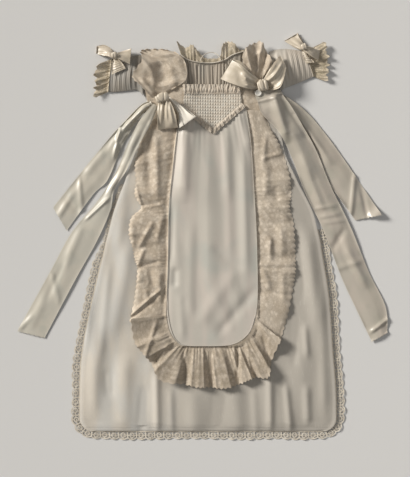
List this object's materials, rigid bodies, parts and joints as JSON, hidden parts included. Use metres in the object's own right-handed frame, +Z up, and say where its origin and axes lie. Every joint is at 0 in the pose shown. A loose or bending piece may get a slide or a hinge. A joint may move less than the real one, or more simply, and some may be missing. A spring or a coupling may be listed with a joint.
{
  "type": "christening gown",
  "caption": "Infant's christening gown of gauze over a plain slip, laid flat, with a lace-ruffled satin front panel, smocked point, short sleeves and ribbon bows",
  "frame": {"origin": "on the table under the middle of the gown's bounding box", "axes": "+X to the right of someone looking down at the front, +Y towards the neck, +Z up from the table"},
  "size_m": [0.704, 0.7736, 0.0373],
  "materials": {
    "gauze": "sheer matt silk gauze",
    "slip_satin": "plain satin",
    "panel_satin": "soft satin",
    "beige_lace": "matt lace",
    "edging_lace": "matt narrow lace",
    "smocked_silk": "gathered silk",
    "ribbon": "glossy satin ribbon",
    "shell": "pearly shell"
  },
  "bodies": {
    "root": {"skirt_front": "gauze", "skirt_back": "gauze", "bodice_back": "gauze", "tucked_front": "gauze", "sleeve_left": "gauze", "sleeve_right": "gauze", "slip_front": "slip_satin", "slip_back": "slip_satin", "front_panel": "panel_satin", "panel_piping": "panel_satin", "ruffle_left": "beige_lace", "ruffle_bottom": "beige_lace", "ruffle_right": "beige_lace", "side_lace_left": "beige_lace", "side_lace_right": "beige_lace", "shoulder_frill_left": "beige_lace", "shoulder_frill_right": "beige_lace", "cuff_lace_left": "beige_lace", "cuff_lace_right": "beige_lace", "neck_lace": "beige_lace", "hem_lace_left": "edging_lace", "hem_lace_bottom": "edging_lace", "hem_lace_right": "edging_lace", "smocked_point": "smocked_silk", "smock_frill_top": "smocked_silk", "point_frill_left": "smocked_silk", "point_frill_right": "smocked_silk", "neck_binding": "ribbon", "neck_cord": "ribbon", "waist_left_short_end": "ribbon", "waist_left_long_end": "ribbon", "waist_right_short_end": "ribbon", "waist_right_long_end": "ribbon", "waist_left_loop_side": "ribbon", "waist_left_loop_low": "ribbon", "waist_right_loop_in": "ribbon", "waist_right_loop_out": "ribbon", "waist_bow_left_knot": "ribbon", "waist_bow_right_knot": "ribbon", "sleeve_left_loop_out": "ribbon", "sleeve_left_loop_in": "ribbon", "sleeve_right_loop_in": "ribbon", "sleeve_right_loop_out": "ribbon", "sleeve_left_bow_end": "ribbon", "sleeve_right_bow_end": "ribbon", "sleeve_bow_left_knot": "ribbon", "sleeve_bow_right_knot": "ribbon", "button_right": "shell"}
  },
  "joints": []
}
